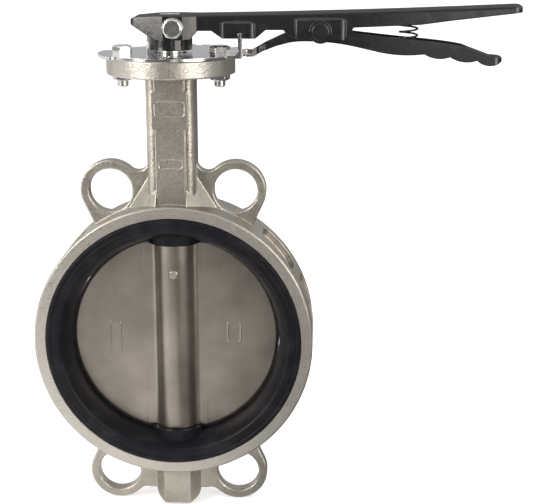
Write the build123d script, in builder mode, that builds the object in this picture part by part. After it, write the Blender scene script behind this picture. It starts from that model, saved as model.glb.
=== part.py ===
from build123d import *
import os
from math import cos, radians, sin, sqrt

# Wafer butterfly valve, DN150, with a notch-locking hand lever.  Millimetres.
# Origin: centre of the waterway on the stem's axis.  +Y runs along the pipe, +Z up the stem,
# +X is where the lever points with the disc shut.
os.makedirs("parts", exist_ok=True)

# ---- waterway, seat and disc ------------------------------------------------------------
BORE_R = 78.0
FACE_TO_FACE = 56.0
LIP_Y = FACE_TO_FACE / 2
SEAT_BACK_R = 88.0
SEAT_FACE_R = 94.2
SEAT_LIP_Y = 22.0
SEAT_MOUTH_R = 83.0
SEAT_BOSS_R = 20.0
SEAT_FIT = 0.05

DISC_R = 77.7
DISC_EDGE_HALF = 3.5
DISC_BEVEL = (75.2, 4.7)
DISC_PLATE_HALF = 5.0
HUB_R = 15.0
HUB_END_Z = 71.8
BOSS_END_Z = 72.2
# blank pads on the disc's front: centre, width, height
DISC_PADS = (((-45.6, -2.6), 8.6, 26.0), ((44.0, 2.2), 10.6, 15.4))
PAD_PROUD = 0.5

# ---- body casting -----------------------------------------------------------------------
RING_Y = 26.5
RIM_R = 103.0
POCKET_R = 98.2
POCKET_HALF_Y = 15.5
POCKET_HALF_ANGLE = 10.0
POCKET_ANGLES = (15.5, 40.5)
REBATE_R = 94.6

EYE_PCD_R = 120.0
EYE_ANGLE = 22.5
EYE_X = EYE_PCD_R * sin(radians(EYE_ANGLE))
EYE_Z = EYE_PCD_R * cos(radians(EYE_ANGLE))
EYE_HOLE_R = 16.0
EYE_R = 22.3
EYE_HALF_Y = 5.0
WEB_FILLET_R = 8.0

NECK_HALF_X = 17.6
NECK_HALF_Y = 15.5
NECK_CORNER_R = 6.0
PANEL_HALF_X = 11.0
PANEL_WIDE_X = 13.4
PANEL_Y = 18.0
# blank recesses in the panels: height, width, depth up the stem
PANEL_RECESSES = ((172.6, 21.5, 10.6), (132.8, 17.0, 6.4))
RECESS_DEPTH = 0.7
GUSSET_TOP_Z = 121.5
GUSSET_OUT_X = 32.2
GUSSET_FOOT_Y = 22.0

FOOT_HALF_X = 16.8
FOOT_HALF_Y = 16.2
FOOT_SIDE_Y = 6.5
FOOT_PAD_X = 10.0
FOOT_PAD_Y = 17.5
FOOT_END_Z = -132.0
FOOT_CORNER_R = 7.0
CAST_EDGE_R = 1.0

FLANGE_R = 46.2
FLANGE_TOP_Z = 209.0
FLANGE_T = 12.5
FLANGE_UNDER_Z = FLANGE_TOP_Z - FLANGE_T
PAD_PCD_R = 35.0
PAD_HOLE_R = 5.0

# ---- stem and its bearings --------------------------------------------------------------
STEM_R = 9.46
RUN_FIT = 0.04
BUSH_R = 11.5
STEM_FOOT_Z = -118.0
STEM_SQUARE = 14.0
STEM_SQUARE_Z = FLANGE_TOP_Z + 7
STEM_TOP_Z = 238.3
PIN_Z = 49.6
PIN_R = 3.5
BUSHES = (("lower_bush", -117.5, -90.0), ("middle_bush", 92.0, 118.0), ("upper_bush", 168.0, 196.0))
SEAL_RING_ZS = (122.0, 128.0)
GROOVE_R = 7.8
RETAINER_Z = FLANGE_TOP_Z - 8
RETAINER_T = 3.4
RETAINER_R = 13.0
CIRCLIP_Z = RETAINER_Z + 3.8
CIRCLIP_R = 16.0
POCKET_TOP_R = 14.5

# ---- notch plate and its fasteners ------------------------------------------------------
PLATE_T = 2.0
PLATE_TOP_Z = FLANGE_TOP_Z + PLATE_T
PLATE_R = 47.8
SECTOR_R = 60.0
NOTCH_FLOOR_R = 53.3
NOTCH_W = 6.8
NOTCH_STEP = 15.0
SECTOR_OVERRUN = 9.0
LOBE_R = 52.0
LOBE_ANGLES = (164, 222)
EAR_X = 51.9
EAR_NEAR_Y = 14.2
EAR_FAR_Y = 23.6
EAR_TOP_Z = 226.6
EAR_T = 2.4
EAR_FLARE = 2.6
EAR_PROFILE = (
    (EAR_X, FLANGE_TOP_Z), (EAR_X, EAR_TOP_Z), (EAR_X - EAR_T, EAR_TOP_Z),
    (EAR_X - EAR_T, PLATE_TOP_Z + EAR_FLARE), (EAR_X - EAR_T - EAR_FLARE, PLATE_TOP_Z),
    (EAR_X - EAR_T - EAR_FLARE, FLANGE_TOP_Z),
)
WASHER_T = 1.2
NUT_H = 4.2
BOLT_R = 4.0
BOLT_AF = 13.0
HEX_CROWN = 1.2
CROWN_R = 5.7
BOLT_HEAD_H = 5.0
BOLT_END_Z = 186.6

# ---- lever ------------------------------------------------------------------------------
LEVER_END_X = 248.5
LEVER_TOP = ((12.0, 238.3), (130.0, 240.8), (LEVER_END_X, 245.2))
LEVER_HALF_Y = 12.0
LEVER_WALL = 3.6
LEVER_EDGE_R = 2.0
CHANNEL_END_X = 241.5
CHANNEL_HALF_Y = 8.8
HEAD_HALF_Y = 15.5
HEAD_FLAT_X = (-3.6, 10.0)
HEAD_TOP_Z = 238.3
HEAD_FOOT_Z = 221.0
COLLAR_R = 15.6
COLLAR_Z = 213.2
COLLAR_H = HEAD_FOOT_Z - COLLAR_Z + 1
BOSS_PROUD = 1.6
BOSS_CORNER_R = 4.5
BOSS_Y = LEVER_HALF_Y + BOSS_PROUD
SET_BOLT_X = 3.4
SET_BOLT_Z = 229.3

# ---- trigger ----------------------------------------------------------------------------
PIVOT_X = 107.0
PIVOT_Z = 226.7
PIVOT_R = 4.0
TRIGGER_END_X = 235.4
TRIGGER_HALF_Y = 8.2
TRIGGER_WALL = 2.4
TONGUE_HALF_Y = 3.0
TONGUE_TIP_X = 54.6
GRIP_HALF_Y = 10.4
PIN_COLLAR_R = 8.2
PIN_HEAD_R = 6.0
PIN_COLLAR_T = 0.9
PIN_HEAD_T = 2.7
PIN_TAIL_Y = BOSS_Y + 2.4
CLIP_Y = BOSS_Y + 0.2
SPRING_X = 169.4
SPRING_R = 6.4
SPRING_WIRE_R = 0.7
SPRING_TURNS = 5
SPRING_FOOT_Z = 214.3
SPRING_TOP_Z = 237.4


def bush_ring(low_z, high_z):
    """A plain bearing sleeve that the stem runs in."""
    with BuildPart() as ring:
        with BuildSketch(Plane.XY.offset(low_z)):
            Circle(BUSH_R)
            Circle(STEM_R + RUN_FIT, mode=Mode.SUBTRACT)
        extrude(amount=high_z - low_z)
    return ring.part


def hexagon_block(height, plane):
    """A bolt head or nut: a hexagon prism on a plane, its outer corners turned off by a cone."""
    corner_r = BOLT_AF / sqrt(3)
    with BuildPart() as block:
        with BuildSketch():
            RegularPolygon(radius=corner_r, side_count=6)
        extrude(amount=height)
        with BuildSketch(Plane.XZ):
            with BuildLine():
                Polyline((0, 0), (corner_r, 0), (corner_r, height - HEX_CROWN),
                         (CROWN_R, height), (0, height), close=True)
            make_face()
        revolve(axis=Axis.Z, mode=Mode.INTERSECT)
    return block.part.moved(plane.location)


# ---- valve body casting -----------------------------------------------------------------
def web_outline(side, level):
    """Half of a lug plate: eye, outer leg down to the ring, and the web in to the neck or foot."""
    root_x = NECK_HALF_X if level > 0 else FOOT_HALF_X
    arc_x = root_x + WEB_FILLET_R
    reach = EYE_R + WEB_FILLET_R
    arc_z = EYE_Z + sqrt(reach**2 - (EYE_X - arc_x) ** 2)
    touch = EYE_R / reach
    touch_x = EYE_X + (arc_x - EYE_X) * touch
    touch_z = EYE_Z + (arc_z - EYE_Z) * touch
    leg_x, leg_z = 58.0, 84.0
    out_x, out_z = EYE_X + EYE_R * cos(radians(-22)), EYE_Z + EYE_R * sin(radians(-22))
    root_z = arc_z if level > 0 else min(arc_z, -FOOT_END_Z - FOOT_CORNER_R)
    outline = [
        (0, 90), (0, root_z), (arc_x, root_z), (touch_x, touch_z), (EYE_X, EYE_Z),
        (out_x, out_z), (leg_x, leg_z),
    ]
    return [(side * x, level * z) for x, z in outline], (side * arc_x, level * arc_z)


with BuildPart() as lugs:
    for side in (-1, 1):
        for level in (-1, 1):
            outline, arc_centre = web_outline(side, level)
            with BuildSketch(Plane.XZ.offset(-EYE_HALF_Y)):
                with BuildLine():
                    Polyline(*outline, close=True)
                make_face()
                with Locations((side * EYE_X, level * EYE_Z)):
                    Circle(EYE_R)
                with Locations(arc_centre):
                    Circle(WEB_FILLET_R, mode=Mode.SUBTRACT)
            extrude(amount=2 * EYE_HALF_Y)
    with BuildSketch(Plane.XZ.offset(-EYE_HALF_Y)):
        with GridLocations(2 * EYE_X, 2 * EYE_Z, 2, 2):
            Circle(EYE_HOLE_R)
    extrude(amount=2 * EYE_HALF_Y, mode=Mode.SUBTRACT)
    chamfer(lugs.faces().filter_by(Axis.Y).edges(), 0.8 * CAST_EDGE_R)


def gusset(side):
    """The wedge that stiffens the neck's root: it slopes from the panel's foot out and back to the web."""
    top = Vector(side * NECK_HALF_X, -EYE_HALF_Y, GUSSET_TOP_Z)
    inner = Vector(side * PANEL_HALF_X, -GUSSET_FOOT_Y, 102.0)
    outer = Vector(side * GUSSET_OUT_X, -EYE_HALF_Y, 97.8)
    along_rim = outer - inner
    slope = Plane(origin=inner, x_dir=along_rim, z_dir=along_rim.cross(top - inner))
    if slope.z_dir.Z < 0:
        slope = -slope
    with BuildPart() as wedge:
        with BuildSketch(Plane.XZ.offset(GUSSET_FOOT_Y)):
            with BuildLine():
                Polyline((side * PANEL_HALF_X, 92), (side * PANEL_HALF_X, GUSSET_TOP_Z + 1),
                         (side * NECK_HALF_X, GUSSET_TOP_Z + 1), (side * (GUSSET_OUT_X + 0.6), 98),
                         (side * (GUSSET_OUT_X + 0.6), 90), close=True)
            make_face()
        extrude(amount=-GUSSET_FOOT_Y)
        split(bisect_by=slope, keep=Keep.BOTTOM)
    return wedge.part


with BuildPart() as pocket:
    with BuildSketch(Plane.XY.rotated((0, -POCKET_HALF_ANGLE, 0))):
        with Locations(((POCKET_R + RIM_R + 6) / 2, 0)):
            Rectangle(RIM_R + 6 - POCKET_R, 2 * POCKET_HALF_Y)
    revolve(axis=Axis.Y, revolution_arc=2 * POCKET_HALF_ANGLE)
    fillet(pocket.edges().filter_by(GeomType.LINE).filter_by(Axis.Y, reverse=True), 8)

wedges = [gusset(-1), gusset(1)]

with BuildPart() as neck:
    with BuildSketch(Plane.XY.offset(92)):
        RectangleRounded(2 * NECK_HALF_X, 2 * NECK_HALF_Y, NECK_CORNER_R)
    extrude(amount=FLANGE_UNDER_Z - 92 + 1)
    for face_side in (-1, 1):
        with BuildSketch(Plane.XZ.offset(face_side * (NECK_HALF_Y - 2))):
            with Locations((0, 142)):
                Rectangle(2 * PANEL_HALF_X, 113)
            with Locations((0, 171.2)):
                RectangleRounded(2 * PANEL_WIDE_X, 29, 3)
        extrude(amount=face_side * (PANEL_Y - NECK_HALF_Y + 2), taper=6)
        with BuildSketch(Plane.XZ.offset(face_side * PANEL_Y)):
            for centre_z, width, height in PANEL_RECESSES:
                with Locations((0, centre_z)):
                    RectangleRounded(width, height, 2)
        extrude(amount=-face_side * RECESS_DEPTH, mode=Mode.SUBTRACT)

with BuildPart() as foot:
    with BuildSketch(Plane.XY.offset(-92)):
        with BuildLine():
            Polyline((-FOOT_HALF_X, 0), (-FOOT_HALF_X, -FOOT_SIDE_Y), (-FOOT_PAD_X, -FOOT_HALF_Y),
                     (FOOT_PAD_X, -FOOT_HALF_Y), (FOOT_HALF_X, -FOOT_SIDE_Y), (FOOT_HALF_X, 0), close=True)
        make_face()
        mirror(about=Plane.XZ)
        Rectangle(2 * FOOT_PAD_X, 2 * FOOT_PAD_Y)
    extrude(amount=FOOT_END_Z + 92)
    with BuildSketch(Plane.XZ.offset(-FOOT_PAD_Y)) as foot_front:
        with Locations((0, (FOOT_END_Z - 92) / 2)):
            Rectangle(2 * FOOT_HALF_X, -FOOT_END_Z - 92)
        fillet(foot_front.vertices().group_by(Axis.Y)[0], FOOT_CORNER_R)
    extrude(amount=2 * FOOT_PAD_Y, mode=Mode.INTERSECT)

with BuildPart() as top_flange:
    with BuildSketch(Plane.XY.offset(FLANGE_UNDER_Z)):
        Circle(FLANGE_R)
    extrude(amount=FLANGE_T)
    fillet(top_flange.edges(), CAST_EDGE_R)

with BuildPart() as valve_body:
    # ring, with a rebate in each face for the liner's lips
    with BuildSketch(Plane.XY):
        with BuildLine():
            Polyline((SEAT_BACK_R, 0), (SEAT_BACK_R, SEAT_LIP_Y), (REBATE_R, SEAT_LIP_Y), (REBATE_R, RING_Y),
                     (RIM_R - CAST_EDGE_R, RING_Y), (RIM_R, RING_Y - CAST_EDGE_R), (RIM_R, 0), close=True)
        make_face()
        mirror(about=Plane.XZ)
    revolve(axis=Axis.Y)
    for angle in POCKET_ANGLES:
        for turn in (angle, -angle, 180 - angle, 180 + angle):
            add(pocket.part.rotate(Axis.Y, turn), mode=Mode.SUBTRACT)
    add(lugs.part)
    add(neck.part)
    add(foot.part)
    add(top_flange.part)
    for wedge in wedges:
        add(wedge)
        add(wedge.mirror(Plane.XZ))
    # the liner's seat, the stem's bore, the lug eyes and the holes of the top flange
    with BuildSketch(Plane.XZ.offset(-RING_Y)):
        Circle(SEAT_BACK_R)
    extrude(amount=2 * RING_Y, mode=Mode.SUBTRACT)
    for face_side in (-1, 1):
        with BuildSketch(Plane.XZ.offset(face_side * SEAT_LIP_Y)):
            Circle(REBATE_R)
        extrude(amount=face_side * (RING_Y - SEAT_LIP_Y), mode=Mode.SUBTRACT)
    with BuildSketch(Plane.XY.offset(STEM_FOOT_Z - 1.5)):
        Circle(BUSH_R + SEAT_FIT)
    extrude(amount=FLANGE_TOP_Z - STEM_FOOT_Z + 2, mode=Mode.SUBTRACT)
    with BuildSketch(Plane.XY.offset(RETAINER_Z - 0.5)):
        Circle(POCKET_TOP_R)
    extrude(amount=FLANGE_TOP_Z - RETAINER_Z + 1, mode=Mode.SUBTRACT)
    with BuildSketch(Plane.XY.offset(CIRCLIP_Z - 0.1)):
        Circle(CIRCLIP_R)
    extrude(amount=1.6, mode=Mode.SUBTRACT)
    with BuildSketch(Plane.XY.offset(FLANGE_UNDER_Z)):
        with PolarLocations(PAD_PCD_R, 4):
            Circle(PAD_HOLE_R)
    extrude(amount=FLANGE_T, mode=Mode.SUBTRACT)
valve_body.part.label = "valve_body"
export_step(valve_body.part, "parts/valve_body.step")


# ---- seat liner: a rubber sleeve with a lip over each face and a flat boss at each stem hole ------
with BuildPart() as seat_liner:
    with BuildSketch(Plane.XY):
        with BuildLine():
            Line((BORE_R, 0), (BORE_R, 11))
            ThreePointArc((BORE_R, 11), (79.6, 19), (SEAT_MOUTH_R, 26))
            ThreePointArc((SEAT_MOUTH_R, 26), (84.2, 27.4), (86, LIP_Y))
            Polyline((86, LIP_Y), (89.6, LIP_Y), (90.1, LIP_Y - 0.5), (90.9, LIP_Y - 0.5),
                     (91.4, LIP_Y), (SEAT_FACE_R - 1, LIP_Y), (SEAT_FACE_R, LIP_Y - 1),
                     (SEAT_FACE_R, SEAT_LIP_Y + SEAT_FIT), (SEAT_BACK_R - SEAT_FIT, SEAT_LIP_Y + SEAT_FIT),
                     (SEAT_BACK_R - SEAT_FIT, 0))
            mirror(about=Plane.XZ)
        make_face()
    revolve(axis=Axis.Y)
    for end in (-1, 1):
        with BuildSketch(Plane.XY.offset(end * BOSS_END_Z)):
            Circle(SEAT_BOSS_R)
        extrude(amount=end * 11)
    with BuildSketch(Plane.XY.offset(-BORE_R - 20)):
        Circle(STEM_R + 0.3)
    extrude(amount=2 * BORE_R + 40, mode=Mode.SUBTRACT)
seat_liner.part.label = "seat_liner"
export_step(seat_liner.part, "parts/seat_liner.step")

# ---- disc: a plate with a ball-shaped edge and the stem's hub across it --------------------------
with BuildPart() as disc:
    edge_r = sqrt(DISC_R**2 - DISC_EDGE_HALF**2)
    with BuildSketch(Plane.XY):
        with BuildLine():
            Polyline((0, 0), (0, DISC_PLATE_HALF), (52, DISC_PLATE_HALF), DISC_BEVEL, (edge_r, DISC_EDGE_HALF))
            ThreePointArc((edge_r, DISC_EDGE_HALF), (DISC_R, 0), (edge_r, -DISC_EDGE_HALF))
            Polyline((edge_r, -DISC_EDGE_HALF), (DISC_BEVEL[0], -DISC_BEVEL[1]), (52, -DISC_PLATE_HALF),
                     (0, -DISC_PLATE_HALF), (0, 0))
        make_face()
    revolve(axis=Axis.Y)
    with BuildSketch(Plane.XY.offset(-HUB_END_Z)) as hub_section:
        Circle(HUB_R)
        Rectangle(46, 2 * DISC_PLATE_HALF)
        fillet(hub_section.vertices().filter_by_position(Axis.X, -16, 16), 5)
    extrude(amount=2 * HUB_END_Z)
    for end in (-1, 1):
        with BuildSketch(Plane.XY.offset(end * HUB_END_Z)):
            Circle(SEAT_BOSS_R + 0.4)
        extrude(amount=end * 9, mode=Mode.SUBTRACT)
    # blank raised pads, each a thin frame round a sunk field
    for centre, width, height in DISC_PADS:
        with BuildSketch(Plane.XZ.offset(DISC_PLATE_HALF)):
            with Locations(centre):
                RectangleRounded(width, height, 1.5)
        extrude(amount=PAD_PROUD)
        with BuildSketch(Plane.XZ.offset(DISC_PLATE_HALF + PAD_PROUD)):
            with Locations(centre):
                RectangleRounded(width - 2, height - 2, 1)
        extrude(amount=-PAD_PROUD, mode=Mode.SUBTRACT)
    with BuildSketch(Plane.XY.offset(-HUB_END_Z - 1)):
        Circle(STEM_R + 0.03)
    extrude(amount=2 * HUB_END_Z + 2, mode=Mode.SUBTRACT)
    with BuildSketch(Plane.XZ.offset(-HUB_R - 1)):
        with Locations((0, PIN_Z)):
            Circle(PIN_R + 0.02)
    extrude(amount=2 * HUB_R + 2, mode=Mode.SUBTRACT)
disc.part.label = "disc"
export_step(disc.part, "parts/disc.step")

# ---- stem: one shaft from the foot to the lever, square at the top -------------------------------
with BuildPart() as stem:
    with BuildSketch(Plane.XY.offset(STEM_FOOT_Z)):
        Circle(STEM_R)
    extrude(amount=STEM_TOP_Z - STEM_FOOT_Z)
    chamfer(stem.edges().filter_by(GeomType.CIRCLE), 1.0)
    with BuildSketch(Plane.XY.offset(STEM_SQUARE_Z)):
        Circle(STEM_R + 1)
        Rectangle(STEM_SQUARE, STEM_SQUARE, mode=Mode.SUBTRACT)
    extrude(amount=STEM_TOP_Z - STEM_SQUARE_Z, mode=Mode.SUBTRACT)
    with BuildSketch(Plane.XY.offset(RETAINER_Z)):
        Circle(STEM_R + 1)
        Circle(GROOVE_R, mode=Mode.SUBTRACT)
    extrude(amount=RETAINER_T, mode=Mode.SUBTRACT)
    with BuildSketch(Plane.XZ.offset(-STEM_R - 1)):
        with Locations((0, PIN_Z)):
            Circle(PIN_R + 0.02)
    extrude(amount=2 * STEM_R + 2, mode=Mode.SUBTRACT)
    with Locations((0, 0, STEM_TOP_Z)):
        CounterSinkHole(1.2, 2.4, 4)
stem.part.label = "stem"
export_step(stem.part, "parts/stem.step")

# ---- disc pin: driven through hub and stem, its ends polished flush -------------------------------
with BuildPart() as disc_pin:
    with BuildSketch(Plane.XZ.offset(-HUB_R - 0.4)):
        with Locations((0, PIN_Z)):
            Circle(PIN_R)
    extrude(amount=2 * HUB_R + 0.8)
    chamfer(disc_pin.edges().filter_by(GeomType.CIRCLE), 0.6)
disc_pin.part.label = "disc_pin"
export_step(disc_pin.part, "parts/disc_pin.step")

# ---- bushes, seals and the stem's retainer --------------------------------------------------------
for name, low_z, high_z in BUSHES:
    bush = bush_ring(low_z, high_z)
    bush.label = name
    export_step(bush, f"parts/{name}.step")

with BuildPart() as stem_seal_rings:
    with BuildSketch(Plane.XZ):
        with Locations(*[((STEM_R + RUN_FIT + BUSH_R) / 2, z) for z in SEAL_RING_ZS]):
            Circle((BUSH_R - STEM_R - RUN_FIT) / 2)
    revolve(axis=Axis.Z)
stem_seal_rings.part.label = "stem_seal_rings"
export_step(stem_seal_rings.part, "parts/stem_seal_rings.step")

with BuildPart() as stem_retainer:
    with BuildSketch(Plane.XY.offset(RETAINER_Z + 0.2)):
        Circle(RETAINER_R)
        Circle(GROOVE_R + 0.03, mode=Mode.SUBTRACT)
        Rectangle(2 * RETAINER_R + 2, 0.8, mode=Mode.SUBTRACT)
    extrude(amount=RETAINER_T - 0.4)
stem_retainer.part.label = "stem_retainer"
export_step(stem_retainer.part, "parts/stem_retainer.step")

with BuildPart() as circlip:
    with BuildSketch(Plane.XY.offset(CIRCLIP_Z)):
        Circle(CIRCLIP_R - 0.05)
        Circle(CIRCLIP_R - 4, mode=Mode.SUBTRACT)
        with Locations((0, -CIRCLIP_R)):
            Rectangle(9, 12, mode=Mode.SUBTRACT)
    extrude(amount=1.4)
circlip.part.label = "circlip"
export_step(circlip.part, "parts/circlip.step")

# ---- notch plate: lies on the top flange, with seven notches and a stop ear at each end -----------
with BuildPart() as notch_plate:
    with BuildSketch(Plane.XY.offset(FLANGE_TOP_Z)) as plate_outline:
        Circle(PLATE_R)
        for radius, start, end in ((SECTOR_R, -SECTOR_OVERRUN, 90 + SECTOR_OVERRUN), (LOBE_R, *LOBE_ANGLES)):
            with BuildLine():
                arc = CenterArc((0, 0), radius, start, end - start)
                Line((0, 0), arc @ 0)
                Line(arc @ 1, (0, 0))
            make_face()
        with Locations(((PLATE_R / 2 + EAR_X) / 2, -EAR_FAR_Y / 2)):
            Rectangle(EAR_X - PLATE_R / 2, EAR_FAR_Y)
        with Locations((-EAR_FAR_Y / 2, (PLATE_R / 2 + EAR_X) / 2)):
            Rectangle(EAR_FAR_Y, EAR_X - PLATE_R / 2)
        for step in range(7):
            with Locations(Location((0, 0), NOTCH_STEP * step)):
                with Locations((NOTCH_FLOOR_R + 5, 0)):
                    Rectangle(10, NOTCH_W, mode=Mode.SUBTRACT)
        Circle(12, mode=Mode.SUBTRACT)
        with Locations((0, PAD_PCD_R), (0, -PAD_PCD_R)):
            Circle(PAD_HOLE_R, mode=Mode.SUBTRACT)
        with Locations((PAD_PCD_R, 0), (-PAD_PCD_R, 0)):
            Circle(BOLT_R + 0.4, mode=Mode.SUBTRACT)
        lobe_tips = plate_outline.vertices().filter_by(lambda tip: tip.X < -34 and Vector(tip).length > PLATE_R + 1)
        fillet(lobe_tips, 3)
    extrude(amount=PLATE_T)
    with BuildSketch(Plane.XZ.offset(EAR_NEAR_Y)):
        with BuildLine():
            Polyline(*EAR_PROFILE, close=True)
        make_face()
    extrude(amount=EAR_FAR_Y - EAR_NEAR_Y)
    with BuildSketch(Plane.YZ.offset(-EAR_NEAR_Y)):
        with BuildLine():
            Polyline(*EAR_PROFILE, close=True)
        make_face()
    extrude(amount=EAR_NEAR_Y - EAR_FAR_Y)
notch_plate.part.label = "notch_plate"
export_step(notch_plate.part, "parts/notch_plate.step")

# ---- the two bolts that hold the plate to the flange ----------------------------------------------
with BuildPart() as plate_bolts:
    for side, turn in ((-1, 28), (1, 12)):
        turned = Vector(1, 0, 0).rotate(Axis.Z, turn)
        seat = Plane((side * PAD_PCD_R, 0, PLATE_TOP_Z), x_dir=turned, z_dir=(0, 0, 1))
        add(hexagon_block(BOLT_HEAD_H, seat))
        with BuildSketch(Plane.XY.offset(BOLT_END_Z)):
            with Locations((side * PAD_PCD_R, 0)):
                Circle(BOLT_R)
        extrude(amount=PLATE_TOP_Z - BOLT_END_Z)
    chamfer(plate_bolts.faces().group_by(Axis.Z)[0].edges(), 0.7)
plate_bolts.part.label = "plate_bolts"
export_step(plate_bolts.part, "parts/plate_bolts.step")

with BuildPart() as plate_washers:
    with BuildSketch(Plane.XY.offset(FLANGE_UNDER_Z - WASHER_T)):
        with Locations((PAD_PCD_R, 0), (-PAD_PCD_R, 0)):
            Circle(8)
            Circle(BOLT_R + 0.3, mode=Mode.SUBTRACT)
    extrude(amount=WASHER_T)
plate_washers.part.label = "plate_washers"
export_step(plate_washers.part, "parts/plate_washers.step")

with BuildPart() as plate_nuts:
    for side in (-1, 1):
        seat = Plane((side * PAD_PCD_R, 0, FLANGE_UNDER_Z - WASHER_T), x_dir=(1, 0, 0), z_dir=(0, 0, -1))
        add(hexagon_block(NUT_H, seat))
    with BuildSketch(Plane.XY.offset(BOLT_END_Z)):
        with Locations((PAD_PCD_R, 0), (-PAD_PCD_R, 0)):
            Circle(BOLT_R + 0.04)
    extrude(amount=FLANGE_UNDER_Z - BOLT_END_Z, mode=Mode.SUBTRACT)
plate_nuts.part.label = "plate_nuts"
export_step(plate_nuts.part, "parts/plate_nuts.step")

# ---- handle: one casting, a solid head on the stem and a channel-shaped arm -----------------------
def side_boss(low_x, high_x, high_z, outline):
    """A thicker stretch of the arm, as deep as the outline reaches, with rounded upright corners."""
    with BuildPart() as boss:
        with BuildSketch(Plane.XY.offset(HEAD_FOOT_Z - 1)):
            with Locations(((low_x + high_x) / 2, 0)):
                RectangleRounded(high_x - low_x, 2 * BOSS_Y, BOSS_CORNER_R)
        extrude(amount=high_z - HEAD_FOOT_Z + 1)
        chamfer(boss.faces().sort_by(Axis.Z)[-1].edges(), BOSS_PROUD)
        with BuildSketch(Plane.XZ):
            with BuildLine():
                Polyline(*outline, close=True)
            make_face()
        extrude(amount=BOSS_Y, both=True, mode=Mode.INTERSECT)
    return boss.part


with BuildPart() as lever_arm:
    with BuildSketch(Plane.XZ) as arm_side:
        with BuildLine():
            ThreePointArc(*LEVER_TOP)
            Polyline(LEVER_TOP[-1], (LEVER_END_X, 240.2), (199, 234.5), (177, 231.6), (130.4, 229.6),
                     (127, 225.1), (123.5, 220.9), (91.7, 220.9), (84.3, 224.2), (80.8, 227.8), (68.5, 227.8),
                     (61.4, 221.9), (37.6, 221.9), (30.2, 227.1), (12, 227.1), LEVER_TOP[0])
        make_face()
        fillet(arm_side.vertices().filter_by_position(Axis.Y, 220.8, 222.1), 3)
    extrude(amount=LEVER_HALF_Y, both=True)
    fillet(lever_arm.faces().sort_by(Axis.X)[-1].edges().filter_by(Axis.Z), 6)
    top_face = lever_arm.faces().filter_by(lambda face: face.normal_at().Z > 0.99).sort_by(Axis.Z)[-1]
    fillet(top_face.edges().sort_by(Axis.X)[1:], LEVER_EDGE_R)

tongue_boss = side_boss(35.5, 62.0, 234.0,
                        ((34, 240), (34, 224.4), (37.6, 221.9), (61.4, 221.9), (64, 224.1), (64, 240)))
pivot_boss = side_boss(87.5, 126.0, 236.5,
                       ((86, 240), (86, 223.4), (91.7, 220.9), (123.5, 220.9), (127, 225.1), (127, 240)))

with BuildPart() as lever_head:
    with BuildSketch(Plane.XZ):
        with BuildLine():
            Polyline((-27.4, 231.2), (-27.4, 235.0), (-23.0, 237.2), (-8, HEAD_TOP_Z), (24, HEAD_TOP_Z),
                     (24, 227.1), (20.4, 227.1), (14.8, HEAD_FOOT_Z), (-9.5, HEAD_FOOT_Z), (-16.2, 224.4),
                     close=True)
        make_face()
    extrude(amount=HEAD_HALF_Y, both=True)
    with BuildSketch(Plane.XY.offset(COLLAR_Z)) as head_plan:
        with BuildLine():
            Polyline((-27.5, 6), (-25.5, 7.6), (HEAD_FLAT_X[0], HEAD_HALF_Y), (HEAD_FLAT_X[1], HEAD_HALF_Y),
                     (20, LEVER_HALF_Y), (24, LEVER_HALF_Y), (24, 0), (-27.5, 0), close=True)
        make_face()
        mirror(about=Plane.XZ)
    extrude(amount=40, mode=Mode.INTERSECT)
    head_top = lever_head.faces().filter_by(lambda face: face.normal_at().Z > 0.99)[0]
    chamfer(head_top.edges().filter_by(Axis.Y, reverse=True), 1.2)

with BuildPart() as handle:
    add(lever_arm.part)
    add(lever_head.part)
    add(tongue_boss)
    add(pivot_boss)
    with BuildSketch(Plane.XY.offset(COLLAR_Z)):
        Circle(COLLAR_R)
    extrude(amount=COLLAR_H)
    # the arm's channel, open below, its ceiling a wall's thickness under the top
    with BuildSketch(Plane.XZ):
        with BuildLine():
            ceiling = ThreePointArc((24, 238.5 - LEVER_WALL), (130, 240.8 - LEVER_WALL),
                                    (CHANNEL_END_X, 244.8 - LEVER_WALL))
            Polyline(ceiling @ 1, (CHANNEL_END_X, 213), (24, 213), ceiling @ 0)
        make_face()
    extrude(amount=CHANNEL_HALF_Y, both=True, mode=Mode.SUBTRACT)
    # square socket for the stem, the set bolt's thread and the trigger pin's holes
    with BuildSketch(Plane.XY.offset(COLLAR_Z - 1)):
        Rectangle(STEM_SQUARE + 0.06, STEM_SQUARE + 0.06)
        Circle(STEM_R + 0.03, mode=Mode.INTERSECT)
    extrude(amount=30, mode=Mode.SUBTRACT)
    with BuildSketch(Plane.XY.offset(COLLAR_Z - 1)):
        Circle(STEM_R + 0.2)
    extrude(amount=STEM_SQUARE_Z - COLLAR_Z + 1, mode=Mode.SUBTRACT)
    with BuildSketch(Plane.XZ):
        with Locations((SET_BOLT_X, SET_BOLT_Z)):
            Circle(BOLT_R + 0.03)
    extrude(amount=HEAD_HALF_Y + 1, mode=Mode.SUBTRACT)
    with BuildSketch(Plane.XZ):
        with Locations((PIVOT_X, PIVOT_Z)):
            Circle(PIVOT_R + 0.02)
    extrude(amount=HEAD_HALF_Y + 1, both=True, mode=Mode.SUBTRACT)
handle.part.label = "handle"
export_step(handle.part, "parts/handle.step")

# ---- set bolt: bears on one flat of the stem's square ---------------------------------------------
with BuildPart() as set_bolt:
    seat = Plane((SET_BOLT_X, -HEAD_HALF_Y - WASHER_T, SET_BOLT_Z), x_dir=Vector(1, 0, 0).rotate(Axis.Y, 5),
                 z_dir=(0, -1, 0))
    add(hexagon_block(BOLT_HEAD_H, seat))
    with BuildSketch(Plane.XZ.offset(STEM_SQUARE / 2)):
        with Locations((SET_BOLT_X, SET_BOLT_Z)):
            Circle(BOLT_R)
    extrude(amount=HEAD_HALF_Y + WASHER_T - STEM_SQUARE / 2)
set_bolt.part.label = "set_bolt"
export_step(set_bolt.part, "parts/set_bolt.step")

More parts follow.
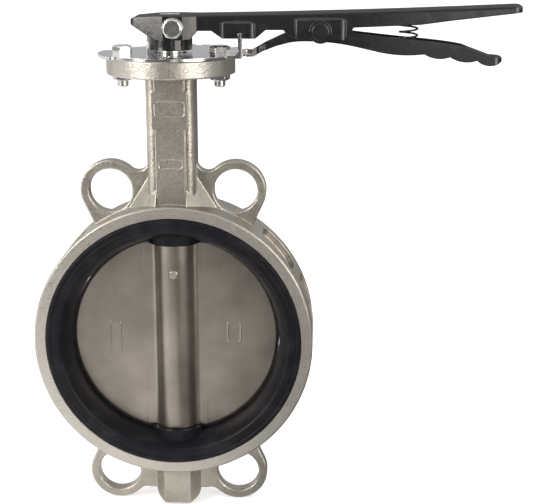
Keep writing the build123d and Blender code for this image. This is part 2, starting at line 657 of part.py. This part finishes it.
with BuildPart() as set_bolt_washer:
    with BuildSketch(Plane.XZ.offset(HEAD_HALF_Y)):
        with Locations((SET_BOLT_X, SET_BOLT_Z)):
            Circle(7.4)
            Circle(BOLT_R + 0.2, mode=Mode.SUBTRACT)
        with Locations((SET_BOLT_X, SET_BOLT_Z + 6)):
            Rectangle(0.9, 6, rotation=20, mode=Mode.SUBTRACT)
    extrude(amount=WASHER_T)
set_bolt_washer.part.label = "set_bolt_washer"
export_step(set_bolt_washer.part, "parts/set_bolt_washer.step")

# ---- trigger: a rocking channel, its tongue in a notch and its grip under the arm -----------------
with BuildPart() as trigger:
    with BuildSketch(Plane.XZ) as trigger_side:
        with BuildLine():
            Polyline((TONGUE_TIP_X, 208.0), (59.5, 208.3), (66.4, 212.6), (75.7, 216.3), (83.8, 218.4))
            Spline((83.8, 218.4), (99.7, 219.6), (121.5, 217.8), (145.4, 213.0),
                   tangents=((1, 0.25), (1, -0.2)))
            ThreePointArc((145.4, 213.0), (163.3, 210.3), (180.2, 210.9))
            ThreePointArc((180.2, 210.9), (189.2, 207.8), (198.5, 208.9))
            ThreePointArc((198.5, 208.9), (207.6, 205.5), (217.5, 206.5))
            ThreePointArc((217.5, 206.5), (226.5, 202.8), (TRIGGER_END_X, 206.1))
            Polyline((TRIGGER_END_X, 206.1), (235.0, 208.8), (227.5, 209.3), (207.5, 216.8))
            Spline((207.5, 216.8), (179.2, 220.6), (149.3, 223.6), (130.5, 226.0),
                   tangents=((-1, 0.2), (-1, 0.15)))
            Polyline((130.5, 226.0), (120.5, 231.2), (93.7, 231.2), (82.7, 224.9), (66.4, 217.4),
                     (58.5, 213.2), (TONGUE_TIP_X, 213.2), (TONGUE_TIP_X, 208.0))
        make_face()
    extrude(amount=GRIP_HALF_Y, both=True)
    with BuildSketch(Plane.XY.offset(200)) as trigger_plan:
        with BuildLine():
            Polyline((TONGUE_TIP_X, TONGUE_HALF_Y), (63.5, TONGUE_HALF_Y), (68.5, TRIGGER_HALF_Y),
                     (133, TRIGGER_HALF_Y), (141, GRIP_HALF_Y), (TRIGGER_END_X, GRIP_HALF_Y),
                     (TRIGGER_END_X, -GRIP_HALF_Y), (141, -GRIP_HALF_Y), (133, -TRIGGER_HALF_Y), (68.5, -TRIGGER_HALF_Y),
                     (63.5, -TONGUE_HALF_Y), (TONGUE_TIP_X, -TONGUE_HALF_Y), close=True)
        make_face()
        fillet(trigger_plan.vertices().group_by(Axis.X)[-1], 6)
    extrude(amount=40, mode=Mode.INTERSECT)
    # the hollow inside, open above: narrow past the pivot, wider in the grip
    with BuildSketch(Plane.XZ):
        with BuildLine():
            Polyline((88, 222.8), (100, 222.9), (121.5, 220.8), (142.5, 216.5), (142.5, 240), (88, 240),
                     close=True)
        make_face()
    extrude(amount=TRIGGER_HALF_Y - TRIGGER_WALL, both=True, mode=Mode.SUBTRACT)
    with BuildSketch(Plane.XZ):
        with BuildLine():
            Polyline((141.5, 216.7), (145.4, 215.9), (162, 213.4), (180.5, 213.4), (199.5, 211.2), (211, 209.8),
                     (211, 240), (141.5, 240), close=True)
        make_face()
    extrude(amount=GRIP_HALF_Y - TRIGGER_WALL, both=True, mode=Mode.SUBTRACT)
    with BuildSketch(Plane.XZ):
        with Locations((PIVOT_X, PIVOT_Z)):
            Circle(PIVOT_R + 0.05)
    extrude(amount=HEAD_HALF_Y, both=True, mode=Mode.SUBTRACT)
trigger.part.label = "trigger"
export_step(trigger.part, "parts/trigger.step")

# ---- trigger pin, headed at the front and held by a clip at the back ------------------------------
with BuildPart() as trigger_pin:
    pin_centre = (PIVOT_X, PIVOT_Z)
    for radius, depth in ((PIN_COLLAR_R, PIN_COLLAR_T), (PIN_HEAD_R, PIN_HEAD_T)):
        with BuildSketch(Plane.XZ.offset(BOSS_Y)):
            with Locations(pin_centre):
                Circle(radius)
        extrude(amount=depth)
        fillet(trigger_pin.faces().sort_by(Axis.Y)[0].edges(), 0.6 * PIN_COLLAR_T)
    with BuildSketch(Plane.XZ.offset(BOSS_Y)):
        with Locations(pin_centre):
            Circle(PIVOT_R)
    extrude(amount=-BOSS_Y - PIN_TAIL_Y)
    chamfer(trigger_pin.faces().sort_by(Axis.Y)[-1].edges(), 0.6)
    with BuildSketch(Plane.XZ.offset(-CLIP_Y)):
        with Locations(pin_centre):
            Circle(PIVOT_R + 1)
            Circle(PIVOT_R - 0.8, mode=Mode.SUBTRACT)
    extrude(amount=-1.2, mode=Mode.SUBTRACT)
trigger_pin.part.label = "trigger_pin"
export_step(trigger_pin.part, "parts/trigger_pin.step")

with BuildPart() as trigger_pin_clip:
    with BuildSketch(Plane.XZ.offset(-CLIP_Y - 0.1)):
        with Locations((PIVOT_X, PIVOT_Z)):
            Circle(6.6)
            Circle(PIVOT_R - 0.75, mode=Mode.SUBTRACT)
        with Locations((PIVOT_X, PIVOT_Z - 6)):
            Rectangle(5.4, 9, mode=Mode.SUBTRACT)
    extrude(amount=-1.0)
trigger_pin_clip.part.label = "trigger_pin_clip"
export_step(trigger_pin_clip.part, "parts/trigger_pin_clip.step")

# ---- trigger spring: a coil between the trigger's floor and the arm's ceiling ---------------------
with BuildPart() as trigger_spring:
    coil_height = SPRING_TOP_Z - SPRING_FOOT_Z
    with BuildLine():
        coil = Helix(pitch=coil_height / SPRING_TURNS, height=coil_height, radius=SPRING_R,
                     center=(SPRING_X, 0, SPRING_FOOT_Z))
    with BuildSketch(Plane(coil @ 0, z_dir=coil % 0)):
        Circle(SPRING_WIRE_R)
    sweep(path=coil, is_frenet=True)
trigger_spring.part.label = "trigger_spring"
export_step(trigger_spring.part, "parts/trigger_spring.step")
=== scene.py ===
from math import radians

import bpy
from mathutils import Matrix, Vector


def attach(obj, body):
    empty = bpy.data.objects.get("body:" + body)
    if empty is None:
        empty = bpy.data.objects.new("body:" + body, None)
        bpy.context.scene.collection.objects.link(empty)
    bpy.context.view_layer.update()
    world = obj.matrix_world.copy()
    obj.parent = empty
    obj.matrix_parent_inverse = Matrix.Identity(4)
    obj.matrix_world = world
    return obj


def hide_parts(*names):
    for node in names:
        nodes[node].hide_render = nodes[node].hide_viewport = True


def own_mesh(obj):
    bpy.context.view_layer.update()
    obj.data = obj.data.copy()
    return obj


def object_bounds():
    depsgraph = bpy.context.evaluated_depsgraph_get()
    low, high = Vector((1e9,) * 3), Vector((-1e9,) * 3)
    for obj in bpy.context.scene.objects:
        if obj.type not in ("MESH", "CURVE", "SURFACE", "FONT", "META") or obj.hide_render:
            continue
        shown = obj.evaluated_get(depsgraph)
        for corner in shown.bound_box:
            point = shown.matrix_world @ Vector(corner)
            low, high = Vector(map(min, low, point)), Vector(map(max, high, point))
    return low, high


# Looks for the wafer butterfly valve.  Metres, in the CAD's frame: +Y along the pipe, +Z up the
# stem.  Every CAD node but the trigger's spring keeps its own mesh, and all of them get a
# procedural finish here.  Sizes whose names end in _mm are millimetres.
MM = 0.001
# a noise texture of scale 1 has spots about 0.6 across
NOISE_PER_GRAIN = 0.6
# cosine between the rounded and the flat normal where an edge's mask begins, and where it is full
EDGE_BEGINS, EDGE_FULL = 0.995, 0.90
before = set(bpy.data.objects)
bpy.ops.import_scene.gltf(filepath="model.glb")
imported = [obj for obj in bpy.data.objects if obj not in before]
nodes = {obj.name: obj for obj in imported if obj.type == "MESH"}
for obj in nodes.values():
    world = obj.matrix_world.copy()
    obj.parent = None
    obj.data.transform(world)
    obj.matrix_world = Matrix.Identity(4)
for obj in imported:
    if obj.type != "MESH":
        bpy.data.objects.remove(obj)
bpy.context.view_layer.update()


# ---- finishes -----------------------------------------------------------------------------------
def map_range(tree, value, *ends):
    """Maps value from ends 1 and 2 to ends 3 and 4, smoothly and clamped.

    value is a node's output, and so may each end be.
    """
    made = tree.nodes.new("ShaderNodeMapRange")
    made.interpolation_type = "SMOOTHSTEP"
    tree.links.new(value, made.inputs["Value"])
    for socket, end in zip(("From Min", "From Max", "To Min", "To Max"), ends):
        if isinstance(end, bpy.types.NodeSocket):
            tree.links.new(end, made.inputs[socket])
        else:
            made.inputs[socket].default_value = end
    return made.outputs["Result"]


class Finish:
    """A Principled material whose detail is laid out in the piece's own coordinates."""

    def __init__(self, name, **sockets):
        self.material = bpy.data.materials.new(name)
        self.material.use_nodes = True
        self.tree = self.material.node_tree
        self.shader = self.tree.nodes["Principled BSDF"]
        for socket, value in sockets.items():
            self.shader.inputs[socket.replace("_", " ")].default_value = value
        self.place = self.node("ShaderNodeTexCoord").outputs["Object"]
        self.rounded = None

    def node(self, kind, inputs=None, **settings):
        made = self.tree.nodes.new(kind)
        for setting, value in settings.items():
            setattr(made, setting, value)
        for socket, value in (inputs or {}).items():
            if isinstance(value, bpy.types.NodeSocket):
                self.tree.links.new(value, made.inputs[socket])
            else:
                made.inputs[socket].default_value = value
        return made

    def noise(self, grain_mm, detail=4.0, rough=0.55, stretch=(1, 1, 1)):
        """Noise whose spots are about grain_mm across, drawn out by stretch."""
        shrink = [1 / factor for factor in stretch]
        spots = self.node("ShaderNodeMapping", {"Vector": self.place, "Scale": shrink})
        inputs = {"Vector": spots.outputs[0], "Scale": NOISE_PER_GRAIN / (grain_mm * MM),
                  "Detail": detail, "Roughness": rough}
        return self.node("ShaderNodeTexNoise", inputs).outputs["Fac"]

    def math(self, operation, a, b=0.0):
        return self.node("ShaderNodeMath", {0: a, 1: b}, operation=operation).outputs[0]

    def spread(self, value, low, high, to_low=0.0, to_high=1.0):
        """Maps low..high to to_low..to_high, smoothly and clamped."""
        return map_range(self.tree, value, low, high, to_low, to_high)

    def along(self, axis):
        """The distance along one of the piece's axes, in millimetres."""
        split = self.node("ShaderNodeSeparateXYZ", {0: self.place})
        return self.math("DIVIDE", split.outputs[axis], MM)

    def mix(self, factor, first, second):
        """first where factor is 0, second where it is 1."""
        mixed = self.node("ShaderNodeMix", {"Factor": factor, "A": (0, 0, 0, 1)}, data_type="RGBA")
        for socket, value in ((mixed.inputs[6], first), (mixed.inputs[7], second)):
            if isinstance(value, bpy.types.NodeSocket):
                self.tree.links.new(value, socket)
            else:
                socket.default_value = (*value, 1)
        return mixed.outputs[2]

    def round_edges(self, radius_mm):
        """Softens the look of sharp edges and returns a mask that is 1 on them."""
        inputs = {"Radius": radius_mm * MM}
        self.rounded = self.node("ShaderNodeBevel", inputs, samples=6).outputs[0]
        flat = self.node("ShaderNodeNewGeometry").outputs["Normal"]
        inputs = {0: self.rounded, 1: flat}
        facing = self.node("ShaderNodeVectorMath", inputs, operation="DOT_PRODUCT")
        return self.spread(facing.outputs["Value"], EDGE_BEGINS, EDGE_FULL)

    def bump(self, height, depth_mm, strength=1.0):
        inputs = {"Height": height, "Distance": depth_mm * MM, "Strength": strength}
        if self.rounded is not None:
            inputs["Normal"] = self.rounded
        self.rounded = self.node("ShaderNodeBump", inputs).outputs[0]

    def wire(self, **sockets):
        for socket, value in sockets.items():
            self.tree.links.new(value, self.shader.inputs[socket.replace("_", " ")])
        if self.rounded is not None:
            self.tree.links.new(self.rounded, self.shader.inputs["Normal"])

    def dress(self, *names):
        for name in names:
            slots = nodes[name].data.materials
            slots.clear()
            slots.append(self.material)


RING_FACE_MM = (26.3, 26.45)


def cast_steel():
    """Blasted cast stainless steel.  Beyond RING_FACE_MM the ring's two faces are turned smooth."""
    finish = Finish("cast_steel", Metallic=0.92)
    edges = finish.round_edges(0.9)
    grain = finish.noise(0.9, detail=5)
    speckle = finish.noise(0.8, detail=4)
    patches = finish.noise(16, detail=3)
    pits = finish.noise(2.6, detail=2)
    across = finish.math("ABSOLUTE", finish.along("Y"))
    turned = finish.spread(across, *RING_FACE_MM)
    patchy = finish.spread(patches, 0.3, 0.7)
    tone = finish.mix(patchy, (0.36, 0.337, 0.296), (0.49, 0.46, 0.41))
    tone = finish.mix(finish.spread(pits, 0.60, 0.78, 0, 0.10), tone, (0.34, 0.31, 0.27))
    tone = finish.mix(finish.spread(speckle, 0.52, 0.68, 0, 0.22), tone, (0.74, 0.71, 0.64))
    # painted highlight: the edges' mask mixes a paler steel colour into the rounded edges, standing
    # in for light caught there
    tone = finish.mix(finish.math("MULTIPLY", edges, 0.55), tone, (0.82, 0.78, 0.70))
    tone = finish.mix(finish.math("MULTIPLY", turned, 0.7), tone, (0.53, 0.505, 0.465))
    rough = finish.spread(grain, 0.3, 0.7, 0.27, 0.42)
    finish.bump(grain, 0.30, 0.9)
    finish.bump(pits, 0.35, 0.4)
    finish.wire(Base_Color=tone, Roughness=rough)
    finish.dress("valve_body")


def seat_rubber():
    """Smooth moulded black rubber, a little dusty on its lips."""
    finish = Finish("seat_rubber", Specular_IOR_Level=0.13)
    finish.round_edges(0.5)
    skin = finish.noise(0.9, detail=3)
    dust = finish.noise(9, detail=4)
    dusty = finish.spread(dust, 0.45, 0.75)
    tone = finish.mix(dusty, (0.006, 0.006, 0.008), (0.013, 0.013, 0.016))
    finish.bump(skin, 0.03, 0.5)
    finish.wire(Base_Color=tone, Roughness=finish.spread(dust, 0.3, 0.7, 0.33, 0.46))
    finish.dress("seat_liner", "stem_seal_rings")


def disc_steel():
    """Satin blasted stainless steel, with a painted highlight on its edges."""
    finish = Finish("disc_steel", Metallic=0.95)
    edges = finish.round_edges(0.8)
    grain = finish.noise(0.8, detail=5)
    patches = finish.noise(22, detail=3)
    patchy = finish.spread(patches, 0.3, 0.7)
    tone = finish.mix(patchy, (0.25, 0.226, 0.198), (0.345, 0.312, 0.274))
    # painted highlight: the edges' mask mixes a paler colour into the disc's rounded edges
    tone = finish.mix(finish.math("MULTIPLY", edges, 0.4), tone, (0.70, 0.65, 0.58))
    finish.bump(grain, 0.10, 0.6)
    finish.wire(Base_Color=tone, Roughness=finish.spread(grain, 0.3, 0.7, 0.28, 0.40))
    finish.dress("disc")


def ground_steel():
    """Ground stainless steel with faint marks round the stem."""
    finish = Finish("ground_steel", Metallic=1.0)
    finish.round_edges(0.4)
    marks = finish.noise(0.5, detail=3, stretch=(40, 40, 1))
    tone = finish.mix(marks, (0.56, 0.55, 0.52), (0.68, 0.67, 0.64))
    finish.bump(marks, 0.02, 0.5)
    finish.wire(Base_Color=tone, Roughness=finish.spread(marks, 0.3, 0.7, 0.16, 0.26))
    finish.dress("stem", "disc_pin")


def bronze():
    """Turned bearing bronze."""
    finish = Finish("bronze", Metallic=1.0)
    finish.round_edges(0.4)
    marks = finish.noise(0.6, detail=3, stretch=(40, 40, 1))
    tone = finish.mix(marks, (0.42, 0.25, 0.10), (0.58, 0.38, 0.17))
    finish.bump(marks, 0.02, 0.5)
    finish.wire(Base_Color=tone, Roughness=finish.spread(marks, 0.3, 0.7, 0.28, 0.4))
    finish.dress("lower_bush", "middle_bush", "upper_bush")


def spring_steel():
    """Oiled dark spring steel."""
    finish = Finish("spring_steel", Metallic=0.7)
    scale = finish.noise(1.2, detail=4)
    tone = finish.mix(scale, (0.018, 0.018, 0.02), (0.06, 0.058, 0.055))
    finish.bump(scale, 0.02, 0.5)
    finish.wire(Base_Color=tone, Roughness=finish.spread(scale, 0.3, 0.7, 0.22, 0.4))
    finish.dress("stem_retainer", "circlip", "trigger_pin_clip", "trigger_spring")


def zinc_plate():
    """Bright plated sheet with fine scuffs and a cloudy sheen."""
    finish = Finish("zinc_plate", Metallic=1.0)
    edges = finish.round_edges(0.35)
    scuffs = finish.noise(0.5, detail=3, stretch=(24, 1, 1))
    cloud = finish.noise(7, detail=4)
    cloudy = finish.spread(cloud, 0.35, 0.7)
    tone = finish.mix(cloudy, (0.86, 0.86, 0.85), (0.76, 0.76, 0.75))
    # painted highlight: the edges' mask mixes a brighter colour into the plate's rounded edges
    tone = finish.mix(finish.math("MULTIPLY", edges, 0.5), tone, (0.85, 0.85, 0.84))
    finish.bump(scuffs, 0.012, 0.6)
    finish.wire(Base_Color=tone, Roughness=finish.spread(cloud, 0.3, 0.7, 0.13, 0.20))
    finish.dress("notch_plate")


def zinc_fasteners():
    """Bright plated bolts, nuts and washers, a little duller in patches."""
    finish = Finish("zinc_fasteners", Metallic=1.0)
    edges = finish.round_edges(0.45)
    cloud = finish.noise(2.2, detail=4)
    cloudy = finish.spread(cloud, 0.35, 0.7)
    tone = finish.mix(cloudy, (0.74, 0.735, 0.72), (0.56, 0.555, 0.54))
    # painted highlight: the edges' mask mixes a brighter colour into the fasteners' rounded edges
    tone = finish.mix(finish.math("MULTIPLY", edges, 0.6), tone, (0.88, 0.88, 0.86))
    finish.bump(cloud, 0.03, 0.4)
    finish.wire(Base_Color=tone, Roughness=finish.spread(cloud, 0.3, 0.7, 0.18, 0.3))
    finish.dress("plate_bolts", "plate_nuts", "plate_washers", "set_bolt", "set_bolt_washer")


def black_enamel(name, bare_below_mm, *names):
    """Glossy black coating over a casting, rubbed thin on its edges and dusty on top.

    Where X is below bare_below_mm it is worn to bare metal, as on the trigger's tongue.
    """
    finish = Finish(name, Specular_IOR_Level=0.62)
    edges = finish.round_edges(0.9)
    peel = finish.noise(2.2, detail=2)
    specks = finish.noise(0.5, detail=2)
    scuff = finish.noise(5, detail=5)
    coat_ends, all_bare = bare_below_mm + 2.5, bare_below_mm - 1.5
    worn = finish.spread(finish.along("X"), coat_ends, all_bare)
    rubbed = finish.math("MULTIPLY", edges, finish.spread(scuff, 0.56, 0.72, 0, 0.20))
    bare = finish.math("MAXIMUM", worn, rubbed)
    speckled = finish.spread(specks, 0.70, 0.76, 0, 0.5)
    tone = finish.mix(speckled, (0.010, 0.010, 0.011), (0.09, 0.09, 0.09))
    tone = finish.mix(bare, tone, (0.62, 0.60, 0.56))
    finish.bump(peel, 0.10, 0.35)
    finish.bump(specks, 0.02, 0.4)
    facing = finish.node("ShaderNodeNewGeometry").outputs["Normal"]
    upward = finish.node("ShaderNodeSeparateXYZ", {0: facing}).outputs["Z"]
    dust = finish.spread(upward, 0.8, 0.97, 0, 0.75)
    rough = finish.math("ADD", finish.spread(scuff, 0.3, 0.75, 0.12, 0.26), dust)
    finish.wire(Base_Color=tone, Roughness=rough, Metallic=bare)
    finish.dress(*names)


cast_steel()
seat_rubber()
disc_steel()
ground_steel()
bronze()
spring_steel()
zinc_plate()
zinc_fasteners()
NOWHERE_BARE_MM = -100
TONGUE_BARE_MM = 60
black_enamel("black_enamel", NOWHERE_BARE_MM, "handle", "trigger_pin")
black_enamel("black_enamel_trigger", TONGUE_BARE_MM, "trigger")


# ---- the trigger's coil spring -------------------------------------------------------------------
# A copy of the CAD spring's mesh, with its own mesh data, rides with the lever and disc; the CAD
# spring is hidden.
coil = bpy.data.objects.new("spring_coil", nodes["trigger_spring"].data.copy())
bpy.context.scene.collection.objects.link(coil)
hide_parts("trigger_spring")
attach(coil, "lever_and_disc")
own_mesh(coil)


# ---- camera -------------------------------------------------------------------------------------
CAMERA = Vector((0.1052, -0.9273, 0.3090))
YAW, PITCH, ROLL = -1.669, 14.817, -0.029   # degrees: right of +Y, down, and rolled to the left
SENSOR_MM = 36
LENS_MM = 82.99


def add_camera():
    data = bpy.data.cameras.new("photo_view")
    data.sensor_width = SENSOR_MM
    data.lens = LENS_MM
    data.clip_end = 50
    camera = bpy.data.objects.new("photo_view", data)
    turn = (Matrix.Rotation(radians(-YAW), 4, "Z")
            @ Matrix.Rotation(radians(90 - PITCH), 4, "X")
            @ Matrix.Rotation(radians(ROLL), 4, "Z"))
    camera.matrix_world = Matrix.Translation(CAMERA) @ turn
    bpy.context.scene.collection.objects.link(camera)
    bpy.context.scene.camera = camera


add_camera()


# ---- studio -------------------------------------------------------------------------------------
PAPER_WHITE = 0.88
PAPER_GLOW = 0.45
FLOOR_HALF = 12
FLOOR_GAP = 0.001
# each flag's shade on the mirrored floor: axis, two places along it, brightness at each place
FLAGS = (("Y", -0.85, -0.15, 0.10, 0.90), ("X", -0.03, 0.11, 1.0, 0.10))
STUDIO_DIM = 0.15
# each wall of light: axis of its direction, where it begins, where it is full, how bright
SOFT_WALLS = (("X", -0.30, -0.85, 0.80), ("X", 0.40, 0.85, 0.75), ("Z", 0.40, 0.95, 0.80),
              ("Y", 0.0, 0.8, 0.30))


def area_light(name, place, target, size, watts, colour):
    """A soft box of this width and height in metres, which the camera doesn't see."""
    data = bpy.data.lights.new(name, "AREA")
    data.shape = "RECTANGLE"
    data.size, data.size_y = size
    data.energy = watts
    data.color = colour
    light = bpy.data.objects.new(name, data)
    light.location = place
    light.visible_camera = False
    aim = Vector(target) - Vector(place)
    light.rotation_euler = aim.to_track_quat("-Z", "Y").to_euler()
    bpy.context.scene.collection.objects.link(light)


def add_floor():
    """White paper.  In the metal's mirror, black flags shade it far in front and to the right."""
    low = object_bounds()[0].z - FLOOR_GAP
    half = FLOOR_HALF
    corners = [(-half, -half, low), (half, -half, low), (half, half, low), (-half, half, low)]
    mesh = bpy.data.meshes.new("floor")
    mesh.from_pydata(corners, [], [(0, 1, 2, 3)])
    floor = bpy.data.objects.new("floor", mesh)
    bpy.context.scene.collection.objects.link(floor)
    material = bpy.data.materials.new("paper")
    material.use_nodes = True
    tree = material.node_tree
    shader = tree.nodes["Principled BSDF"]
    shader.inputs["Roughness"].default_value = 0.9
    shader.inputs["Specular IOR Level"].default_value = 0.1
    shader.inputs["Emission Color"].default_value = (1, 1, 1, 1)
    place = tree.nodes.new("ShaderNodeSeparateXYZ")
    tree.links.new(tree.nodes.new("ShaderNodeTexCoord").outputs["Object"], place.inputs[0])
    flags = [map_range(tree, place.outputs[axis], *shade) for axis, *shade in FLAGS]
    both = tree.nodes.new("ShaderNodeMath")
    both.operation = "MULTIPLY"
    for flag, socket in zip(flags, both.inputs):
        tree.links.new(flag, socket)
    flagged = both.outputs[0]
    ray = tree.nodes.new("ShaderNodeLightPath").outputs["Is Glossy Ray"]
    looks = (("Base Color", PAPER_WHITE, flagged), ("Emission Strength", PAPER_GLOW, 0))
    for socket, seen, mirrored in looks:
        tree.links.new(map_range(tree, ray, 0, 1, seen, mirrored), shader.inputs[socket])
    mesh.materials.append(material)


def add_world():
    """White to look at.  As a light and in the metal it is dim in front and bright at the sides."""
    world = bpy.data.worlds.new("studio")
    bpy.context.scene.world = world
    world.use_nodes = True
    tree = world.node_tree
    direction = tree.nodes.new("ShaderNodeTexCoord")
    split = tree.nodes.new("ShaderNodeSeparateXYZ")
    tree.links.new(direction.outputs["Generated"], split.inputs[0])
    total = None
    for axis, dark_end, bright_end, gain in SOFT_WALLS:
        wall = map_range(tree, split.outputs[axis], dark_end, bright_end, 0, gain)
        added = tree.nodes.new("ShaderNodeMath")
        tree.links.new(wall, added.inputs[0])
        if total is None:
            added.inputs[1].default_value = STUDIO_DIM
        else:
            tree.links.new(total, added.inputs[1])
        total = added.outputs[0]
    background = tree.nodes["Background"]
    background.inputs["Color"].default_value = (1, 1, 1, 1)
    seen = tree.nodes.new("ShaderNodeLightPath").outputs["Is Camera Ray"]
    tree.links.new(map_range(tree, seen, 0, 1, total, 1), background.inputs["Strength"])


add_floor()
add_world()
area_light("key", place=(-0.95, -0.85, 0.55), target=(0, 0, 0.10), size=(0.45, 0.9), watts=14,
           colour=(1, 0.96, 0.90))
area_light("fill", place=(0.98, -0.98, 0.40), target=(0, 0, 0.12), size=(0.85, 1.0), watts=12,
           colour=(1, 0.95, 0.88))
area_light("front", place=(0.68, -3.2, 0.05), target=(0.2, 0, 0.2), size=(0.6, 0.7), watts=2.2,
           colour=(1, 0.93, 0.88))
bpy.context.scene.view_settings.view_transform = "Standard"
